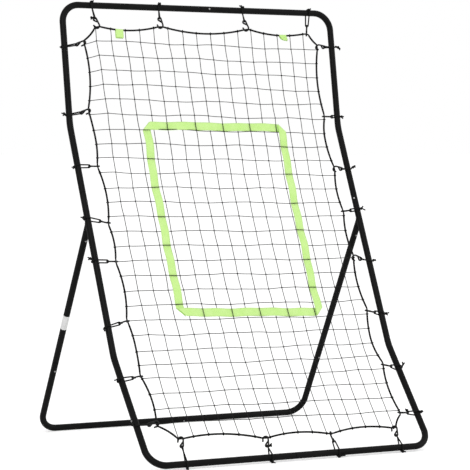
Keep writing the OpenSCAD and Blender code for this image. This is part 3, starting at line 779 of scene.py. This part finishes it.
def hook_line():
    """The wire's centre line, from the eye's closed end round the eye, along the shank and round the curl."""
    eye = Vector((EYE_R, 0, 0))
    curl = Vector((EYE_R + HOOK_SPAN, CURL_STEP, 0))
    reach = (curl - eye).length
    tangent = math.degrees(math.atan2(CURL_STEP, HOOK_SPAN) + math.asin((CURL_R - EYE_R) / reach)) + 90
    closing = EYE_R * math.tan(math.radians((360 - EYE_SWEEP) / 2))
    end = tangent + EYE_SWEEP
    steps = 18
    line = [eye + EYE_R * way_at(end) + closing * share * way_at(end + 90) for share in (0.9, 0.6, 0.3)]
    line += [eye + EYE_R * way_at(end - EYE_SWEEP * i / steps) for i in range(steps + 1)]
    line += [curl + CURL_R * way_at(tangent - (tangent + 90) * i / steps) for i in range(steps + 1)]
    line += [line[-1] + TIP_LENGTH * share * way_at(TIP_TURN) for share in (0.4, 0.8, 0.95, 1.02)]
    return line


def make_hooks(side):
    """The coated wire hooks of one side. Those of the right and bottom bars are turned over."""
    line = hook_line()
    swell = [1.0] * (len(line) - 2) + [0.8, 0.35]
    flip = math.pi if side in ("right", "bottom") else 0.0
    seat_turn = math.atan2(CURL_STEP, SEAT_RUN)
    hooks = []
    for i, hook in enumerate(HOOKS[side]):
        place = hook_matrix(hook) @ Matrix.Translation((bight_place(hook)[0], 0, 0))
        place = place @ Matrix.Rotation(math.pi / 2 - hook["turn"] + flip, 4, "X")
        place = place @ Matrix.Rotation(-seat_turn, 4, "Z")
        wire = [place @ p for p in line]
        hooks.append(cord_curve(f"hook_{side}_{i}", [wire], COAT_R, sides=3, swell=swell))
    coated = join(f"coated_hooks_{side}", hooks)
    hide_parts(f"hooks_{side}")
    return coated


# ---- Elastic loops ----

def bight_place(hook):
    """How far from the tube the loop goes round the hook's eye, and how far the pull is from square."""
    pull = hook["rope"] - hook["tube"]
    skew = math.atan2(min(abs(pull.x), abs(pull.y)), max(abs(pull.x), abs(pull.y)))
    return pull.length - math.hypot(SEAT_RUN, CURL_STEP), skew


def loop_line(hook, slant):
    """The closed line of a loop: round the tube, along two strands and round the hook's eye."""
    eye_x, skew = bight_place(hook)
    wrap_r = (TUBE_R + SOFT_GAP) / math.cos(skew) + CORD_R
    bight_r = WIRE_R + SOFT_GAP + CORD_R
    slope = math.asin((wrap_r - bight_r) / eye_x)
    turn = hook["turn"]
    wrap_steps, bight_steps, strand_steps = 26, 12, 6
    line = []
    for i in range(wrap_steps + 1):
        a = math.pi / 2 - slope + (math.pi + 2 * slope) * i / wrap_steps
        line.append(Vector((wrap_r * math.cos(a), wrap_r * math.sin(a), slant * math.sin(a))))
    eye_low = Vector((eye_x, -bight_r * math.cos(turn), bight_r * math.sin(turn)))
    eye_high = Vector((eye_x, -eye_low.y, -eye_low.z))
    high, low = line[0], line[-1]
    line += [low.lerp(eye_low, t / strand_steps) for t in range(1, strand_steps)]
    for i in range(bight_steps + 1):
        a = -math.pi / 2 + math.pi * i / bight_steps
        line.append(Vector((
            eye_x + bight_r * math.cos(a),
            bight_r * math.sin(a) * math.cos(turn),
            -bight_r * math.sin(a) * math.sin(turn),
        )))
    line += [eye_high.lerp(high, t / strand_steps) for t in range(1, strand_steps)]
    return line


def overhand(at, turn):
    """The closed line of a tight overhand knot."""
    steps = 40
    line = []
    for i in range(steps):
        t = 2 * math.pi * i / steps
        p = Vector((
            -math.sin(3 * t) * 1.1,
            math.sin(t) + 2 * math.sin(2 * t),
            math.cos(t) - 2 * math.cos(2 * t),
        ))
        line.append(at + turn @ (KNOT_SCALE * p))
    return line


def panel_way(hook, degrees, out=0.0):
    """A direction in the panel, measured from the right, seen from the hook's own frame."""
    pull = hook["rope"] - hook["tube"]
    a = math.radians(degrees) - math.atan2(pull.y, pull.x)
    return Vector((math.cos(a), -out, math.sin(a))).normalized()


def stem_lines(start, end, spread):
    """Two cords side by side, which draw together towards the knot at end."""
    steps = 4
    cords = []
    for side in (-1, 1):
        first, last = start + side * spread, end + side * spread * 0.4
        cords.append([first.lerp(last, t / steps) for t in range(steps + 1)])
    return cords


def tail_line(start, way, length, droop):
    """A loose end that leaves a knot along way and curves by droop."""
    steps = 7
    return [start + way * length * t / steps + droop * (t / steps) ** 2 for t in range(steps + 1)]


def make_loop(name, hook, lean, tie):
    """One loop of cord, tied behind the tube, and tied again at the hook's eye where tie says so."""
    slant, stem_angle, stem_length, tails, eye_knot = tie
    place = hook_matrix(hook)
    eye_x, skew = bight_place(hook)
    pick = random.Random(name)
    ring = loop_line(hook, slant * MM)
    root = Matrix.Rotation(lean, 4, "Z") @ Vector((-KNOT_SEAT / math.cos(skew), 0, 0))
    knot = root + panel_way(hook, stem_angle, STEM_FORWARD) * stem_length * MM
    knots = [overhand(knot, Matrix.Rotation(pick.uniform(0, math.pi), 3, "X"))]
    loose = []
    if stem_length:
        loose += stem_lines(root * 0.86, knot, Vector((0, 0.3, 1)).normalized() * CORD_R * 0.9)
    for angle, length in tails:
        droop = Vector((0, pick.uniform(-1, 1), pick.uniform(-1, 1))) * TAIL_DROOP
        way = panel_way(hook, angle, pick.uniform(-0.3, 0.5))
        loose.append(tail_line(knot, way, length * MM + TAIL_START, droop))
    if eye_knot:
        angle, distance = eye_knot
        second = Vector((eye_x, 0, 0)) + panel_way(hook, angle, 0.2) * distance * MM
        knots.append(overhand(second, Matrix.Rotation(1.0, 3, "Y")))
        loose += stem_lines(Vector((eye_x - CORD_R, 0, 0)), second, Vector((0, 1, 0)) * CORD_R * 0.8)
        loose.append(tail_line(second, panel_way(hook, angle + 50, 0.3), 9 * MM, Vector((0, 0, 0))))
    parts = []
    for part, lines, full, closed in (
        ("ring", [ring], RING_FULL, True),
        ("knots", knots, KNOT_FULL, True),
        ("ends", loose, KNOT_FULL, False),
    ):
        placed = [[place @ p for p in line] for line in lines]
        parts.append(cord_curve(f"{name}_{part}", placed, CORD_R * full, closed, sides=3))
    return parts


def press_on_ground(piece):
    """What would reach below the ground lies flat on it."""
    for vertex in piece.data.vertices:
        vertex.co.z = max(vertex.co.z, GROUND_FILM)


def make_loops(side):
    """The elastic loops of one side. The bottom bar's knots lean so far that they rest on the ground."""
    on_ground = math.pi / 2 - PANEL_LEAN[0] - math.asin((BAR.z - KNOT_R + KNOT_FLAT) / KNOT_SEAT)
    lean = KNOT_LEAN.get(side, on_ground)
    parts = []
    for i, (hook, tie) in enumerate(zip(HOOKS[side], TIES[side])):
        parts += make_loop(f"{side}_{i}", hook, lean, tie)
    loops = join(f"cord_loops_{side}", parts)
    if side == "bottom":
        press_on_ground(loops)
    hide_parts(f"elastic_loops_{side}")
    return loops


# ---- Welds ----

def make_weld(side, name):
    """The rippled bead round the stub, where it meets the side tube."""
    _, back = panel_axes(1)
    centre = PANELS[1] @ Vector((side * HALF_WIDTH, 0, WELD_UP))
    down_leg = Vector((0, math.sin(STAND_LEAN), -math.cos(STAND_LEAN)))
    across = Vector((1, 0, 0))
    third = down_leg.cross(across)
    steps = 48
    line = []
    for i in range(steps):
        a = 2 * math.pi * i / steps
        radial = across * math.cos(a) + third * math.sin(a)
        rim = radial * STUB_R
        # A line along the stub, through the rim, comes out of the side tube after the distance out.
        tube_depth = math.sqrt(max(TUBE_R ** 2 - rim.x ** 2, 0))
        out = (tube_depth - rim.dot(back)) / down_leg.dot(back)
        ripple = 1 + WELD_RIPPLE * math.sin(a * WELD_RIPPLES)
        line.append(centre + rim * ripple + down_leg * (out + WELD_LIFT))
    return cord_curve(name, [line], WELD_R, closed=True, sides=2)


# ---- Leaf springs ----

def make_spring(button):
    """The folded leaf spring behind a button, cut across at even steps from its fold towards the button's
    flange.
    """
    node = button.replace("_button", "_button_spring")
    spring = bpy.data.objects.new(f"{node}_blade", frame["nodes"][node].data.copy())
    bpy.context.scene.collection.objects.link(spring)
    press = next(Vector(joint["axis"]) for joint in frame["joints"] if joint["name"] == f"{button}_press")
    button_low, button_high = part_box(button)
    spring_low, spring_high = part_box(node)
    middle = (button_low + button_high) / 2
    along = middle - (spring_low + spring_high) / 2
    along = (along - along.project(press)).normalized()
    heights = [-vertex.co.dot(press) for vertex in spring.data.vertices]
    fold = middle - along * SPRING_LENGTH
    fold -= press * (max(heights) - SPRING_THICK / 2 + fold.dot(press))
    bend_run = SPRING_LENGTH - FLANGE_R
    shares = [(step + 0.5) / ARM_STEPS for step in range(ARM_STEPS)]
    cut_across(spring, [fold + along * bend_run * share for share in shares], along)
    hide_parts(node)
    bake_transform(spring)
    return spring


def cut_across(piece, places, normal):
    """Cuts the faces of a copied mesh at each place, so that it can bend there."""
    select_only(piece)
    bpy.ops.object.mode_set(mode="EDIT")
    bpy.ops.mesh.select_all(action="SELECT")
    bpy.ops.mesh.remove_doubles(threshold=MERGE_GAP)
    for place in places:
        bpy.ops.mesh.select_all(action="SELECT")
        bpy.ops.mesh.bisect(plane_co=place, plane_no=normal)
    bpy.ops.object.mode_set(mode="OBJECT")


# ---- Materials ----

def new_material(name):
    """A material with its nodes, its links and its main shader."""
    material = bpy.data.materials.new(name)
    material.use_nodes = True
    nodes, links = material.node_tree.nodes, material.node_tree.links
    return material, nodes, links, nodes["Principled BSDF"]


def noise_of(nodes, links, source, scale, detail=2.0, rough=0.5):
    """Cloudy noise over the place source."""
    node = nodes.new("ShaderNodeTexNoise")
    node.inputs["Scale"].default_value = scale
    node.inputs["Detail"].default_value = detail
    node.inputs["Roughness"].default_value = rough
    links.new(source, node.inputs["Vector"])
    return node.outputs["Fac"]


def ramp_of(nodes, links, value, stops):
    """A colour that runs from stop to stop as the value grows."""
    ramp = nodes.new("ShaderNodeValToRGB")
    ramp.color_ramp.elements[0].position, ramp.color_ramp.elements[0].color = stops[0]
    ramp.color_ramp.elements[1].position, ramp.color_ramp.elements[1].color = stops[-1]
    links.new(value, ramp.inputs["Fac"])
    return ramp.outputs["Color"]


def grey(v):
    return (v, v, v, 1.0)


def grey_ramp(nodes, links, value, low, high):
    """A grey that runs between two stops, each a position and a tone."""
    return ramp_of(nodes, links, value, [(low[0], grey(low[1])), (high[0], grey(high[1]))])


def mixed(nodes, links, share, color, other):
    """The colour, with a share of one other plain colour."""
    mix = nodes.new("ShaderNodeMix")
    mix.data_type = "RGBA"
    mix.inputs["B"].default_value = other
    links.new(share, mix.inputs["Factor"])
    links.new(color, mix.inputs["A"])
    return mix.outputs["Result"]


def product_of(nodes, links, first, second):
    """Two values multiplied. The second is a socket or a plain number."""
    node = nodes.new("ShaderNodeMath")
    node.operation = "MULTIPLY"
    links.new(first, node.inputs[0])
    if isinstance(second, float):
        node.inputs[1].default_value = second
    else:
        links.new(second, node.inputs[1])
    return node.outputs[0]


def bump_of(nodes, links, height, strength, distance, shader):
    """Raises the shader's surface by the height."""
    bump = nodes.new("ShaderNodeBump")
    bump.inputs["Strength"].default_value = strength
    bump.inputs["Distance"].default_value = distance
    links.new(height, bump.inputs["Height"])
    links.new(bump.outputs["Normal"], shader.inputs["Normal"])


def object_coordinates(nodes):
    """The place on the piece, in metres, that a pattern follows."""
    return nodes.new("ShaderNodeTexCoord").outputs["Object"]


def painted_tube():
    """Black powder coat: fine orange peel, a little dust, and paler rubbed spots."""
    material, nodes, links, shader = new_material("black_powder_coat")
    where = object_coordinates(nodes)
    patches = noise_of(nodes, links, where, 9, 5, 0.6)
    color = grey_ramp(nodes, links, patches, (0.35, 0.0035), (0.7, 0.007))
    specks = noise_of(nodes, links, where, 420, 3, 0.6)
    rubbed = grey_ramp(nodes, links, specks, (0.68, 0), (0.78, 1))
    finish = grey_ramp(nodes, links, patches, (0.3, 0.34), (0.75, 0.5))
    links.new(mixed(nodes, links, rubbed, color, grey(0.03)), shader.inputs["Base Color"])
    links.new(finish, shader.inputs["Roughness"])
    shader.inputs["Specular IOR Level"].default_value = 0.1
    bump_of(nodes, links, noise_of(nodes, links, where, 700), 0.25, 0.0003, shader)
    return material


def coated_wire():
    """The hooks' dipped plastic coat, a little worn."""
    material, nodes, links, shader = new_material("black_dipped_wire")
    where = object_coordinates(nodes)
    wear = noise_of(nodes, links, where, 160, 4)
    links.new(grey_ramp(nodes, links, wear, (0.45, 0.008), (0.8, 0.022)), shader.inputs["Base Color"])
    links.new(grey_ramp(nodes, links, wear, (0.3, 0.28), (0.7, 0.5)), shader.inputs["Roughness"])
    shader.inputs["Specular IOR Level"].default_value = 0.2
    bump_of(nodes, links, noise_of(nodes, links, where, 900), 0.2, 0.0002, shader)
    return material


def bare_metal(name, tone, roughness):
    """Plated or bare steel with fine rubbing marks."""
    material, nodes, links, shader = new_material(name)
    where = object_coordinates(nodes)
    cloud = noise_of(nodes, links, where, 300, 4, 0.6)
    color = grey_ramp(nodes, links, cloud, (0.3, tone * 0.75), (0.7, tone))
    finish = grey_ramp(nodes, links, cloud, (0.3, roughness), (0.7, roughness + 0.15))
    links.new(color, shader.inputs["Base Color"])
    links.new(finish, shader.inputs["Roughness"])
    shader.inputs["Metallic"].default_value = 1.0
    bump_of(nodes, links, noise_of(nodes, links, where, 2500), 0.15, 0.0001, shader)
    return material


def slanted_wave(nodes, links, where, turn, scale):
    """Strands that run one way across a braid."""
    mapping = nodes.new("ShaderNodeMapping")
    mapping.inputs["Rotation"].default_value = turn
    links.new(where, mapping.inputs["Vector"])
    wave = nodes.new("ShaderNodeTexWave")
    wave.inputs["Scale"].default_value = scale
    wave.inputs["Distortion"].default_value = 1.5
    wave.inputs["Detail"].default_value = 1.0
    links.new(mapping.outputs["Vector"], wave.inputs["Vector"])
    return wave.outputs["Fac"]


def braided(name, low, high, scale):
    """Braided cord or laid twine: a fine crossed weave with a soft sheen, and painted shade that darkens the
    grooves between its strands.
    """
    material, nodes, links, shader = new_material(name)
    where = object_coordinates(nodes)
    one_way = slanted_wave(nodes, links, where, (0.6, 0.4, 0.7), scale)
    other_way = slanted_wave(nodes, links, where, (-0.6, -0.4, 0.7), scale)
    strands = product_of(nodes, links, one_way, other_way)
    fuzz = noise_of(nodes, links, where, scale * 4, 3, 0.7)
    # Painted shade: the colour follows the strands' height, darker in the grooves between them and paler on
    # their crowns.
    links.new(grey_ramp(nodes, links, strands, (0.1, low), (0.9, high)), shader.inputs["Base Color"])
    links.new(grey_ramp(nodes, links, fuzz, (0.3, 0.7), (0.7, 0.95)), shader.inputs["Roughness"])
    shader.inputs["Specular IOR Level"].default_value = 0.1
    shader.inputs["Sheen Weight"].default_value = 0.06
    shader.inputs["Sheen Roughness"].default_value = 0.5
    bump_of(nodes, links, strands, 0.5, 0.0004, shader)
    return material


def rib_wave(nodes, links, where, direction):
    """Fine ribs that follow one another in one direction."""
    wave = nodes.new("ShaderNodeTexWave")
    wave.bands_direction = direction
    wave.inputs["Scale"].default_value = 260
    wave.inputs["Distortion"].default_value = 0.4
    links.new(where, wave.inputs["Vector"])
    return wave.outputs["Fac"]


def lime_webbing():
    """Fluorescent woven ribbon, with fine ribs along and across it."""
    material, nodes, links, shader = new_material("lime_webbing")
    where = object_coordinates(nodes)
    ribs = product_of(
        nodes, links, rib_wave(nodes, links, where, "X"), rib_wave(nodes, links, where, "Z"),
    )
    cloud = noise_of(nodes, links, where, 30, 4)
    tint = ramp_of(nodes, links, cloud, [(0.3, (0.60, 0.93, 0.28, 1)), (0.7, (0.68, 0.97, 0.36, 1))])
    shade = product_of(nodes, links, ribs, 0.3)
    links.new(mixed(nodes, links, shade, tint, (0.50, 0.84, 0.20, 1)), shader.inputs["Base Color"])
    links.new(grey_ramp(nodes, links, cloud, (0.3, 0.6), (0.7, 0.8)), shader.inputs["Roughness"])
    shader.inputs["Specular IOR Level"].default_value = 0.25
    shader.inputs["Sheen Weight"].default_value = 0.1
    bump_of(nodes, links, ribs, 0.35, 0.0002, shader)
    return material


def blank_film():
    """The blank label: a white film with faint creases, greyed by painted shade where they sink."""
    material, nodes, links, shader = new_material("blank_film")
    cloud = noise_of(nodes, links, object_coordinates(nodes), 60, 5, 0.6)
    # Painted shade: the grey follows the same noise as the creases, darker where the surface sinks.
    links.new(grey_ramp(nodes, links, cloud, (0.3, 0.72), (0.6, 0.86)), shader.inputs["Base Color"])
    links.new(grey_ramp(nodes, links, cloud, (0.3, 0.3), (0.7, 0.5)), shader.inputs["Roughness"])
    bump_of(nodes, links, cloud, 0.2, 0.0004, shader)
    return material


def paint(piece, material):
    """Gives the piece the one material."""
    piece.data.materials.clear()
    piece.data.materials.append(material)


# ---- The object ----

POWDER_COAT = painted_tube()
WIRE = coated_wire()
BUTTON_STEEL = bare_metal("button_steel", 0.5, 0.3)
SPRING_STEEL = bare_metal("spring_steel", 0.62, 0.25)
# Each braid's two tones: the painted shade of its grooves, and the paler crowns of its strands.
ROPE_BRAID = braided("rope_braid", 0.004, 0.02, 420)
CORD_BRAID = braided("cord_braid", 0.004, 0.018, 520)
TWINE_FIBRE = braided("twine_fibre", 0.006, 0.03, 900)
LIME = lime_webbing()
FILM = blank_film()

for node, cad in frame["nodes"].items():
    if "button" in node and "spring" not in node:
        paint(cad, BUTTON_STEEL)
    elif node == "leg_label":
        paint(cad, FILM)
    elif "tube" in node or "stand" in node:
        paint(cad, POWDER_COAT)

# The pieces that ride on the frame, each with its material and a slot name.
DRESSED = [
    (make_rope(), ROPE_BRAID, "edge_rope"),
    (make_net(), TWINE_FIBRE, "net_twine"),
    (make_target(), LIME, "lime_ribbon"),
    (make_tag("left", -0.363, 0.0004, 0.0), LIME, "lime_ribbon"),
    (make_tag("right", 0.370, 0.0018, 0.42), LIME, "lime_ribbon"),
    (make_weld(-1, "weld_bead_left"), POWDER_COAT, "black_paint"),
    (make_weld(1, "weld_bead_right"), POWDER_COAT, "black_paint"),
]
for side in HOOKS:
    DRESSED.append((make_hooks(side), WIRE, "hook_wire"))
    DRESSED.append((make_loops(side), CORD_BRAID, "elastic_cord"))
for piece, material, slot in DRESSED:
    paint(piece, material)
    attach(piece, "frame")
for button in frame["bodies"]:
    if button != "frame":
        spring = make_spring(button)
        paint(spring, SPRING_STEEL)


# ---- Floor, backdrop and light ----

FLOOR_GLOW = 0.42  # what makes the lit floor white to the camera
SKY_LIGHT = 0.75
LAMP_SIZE = 2.5
LAMP_AIM = Vector((0, 0, 0.8))


def make_floor():
    """A white floor that shows white to the camera, and keeps the object's soft shadow."""
    deselect_all()
    bpy.ops.mesh.primitive_plane_add(size=60)
    floor = bpy.context.object
    floor.name = "floor"
    material, nodes, links, shader = new_material("white_floor")
    shader.inputs["Base Color"].default_value = grey(0.9)
    shader.inputs["Roughness"].default_value = 0.9
    shader.inputs["Specular IOR Level"].default_value = 0.1
    path = nodes.new("ShaderNodeLightPath")
    shader.inputs["Emission Color"].default_value = grey(1)
    glow = product_of(nodes, links, path.outputs["Is Camera Ray"], FLOOR_GLOW)
    links.new(glow, shader.inputs["Emission Strength"])
    paint(floor, material)


def make_world():
    """White to the camera, and a plain grey light otherwise."""
    world = bpy.data.worlds.new("studio")
    bpy.context.scene.world = world
    world.use_nodes = True
    nodes, links = world.node_tree.nodes, world.node_tree.links
    background = nodes["Background"]
    background.inputs["Color"].default_value = grey(1)
    path = nodes.new("ShaderNodeLightPath")
    strength = nodes.new("ShaderNodeMapRange")
    strength.inputs["To Min"].default_value = SKY_LIGHT
    strength.inputs["To Max"].default_value = 1.0
    links.new(path.outputs["Is Camera Ray"], strength.inputs["Value"])
    links.new(strength.outputs["Result"], background.inputs["Strength"])


def add_softbox(name, place, power):
    """A square soft lamp that looks at the middle of the object."""
    data = bpy.data.lights.new(name, "AREA")
    data.size = LAMP_SIZE
    data.energy = power
    lamp = bpy.data.objects.new(name, data)
    lamp.location = place
    lamp.rotation_mode = "QUATERNION"
    lamp.rotation_quaternion = (LAMP_AIM - Vector(place)).to_track_quat("-Z", "Y")
    bpy.context.scene.collection.objects.link(lamp)


make_floor()
make_world()
add_softbox("key_light", (-3.5, -4.5, 4.5), 90)
add_softbox("fill_light", (4.5, -3.0, 3.0), 40)
bpy.context.scene.view_settings.view_transform = "Standard"
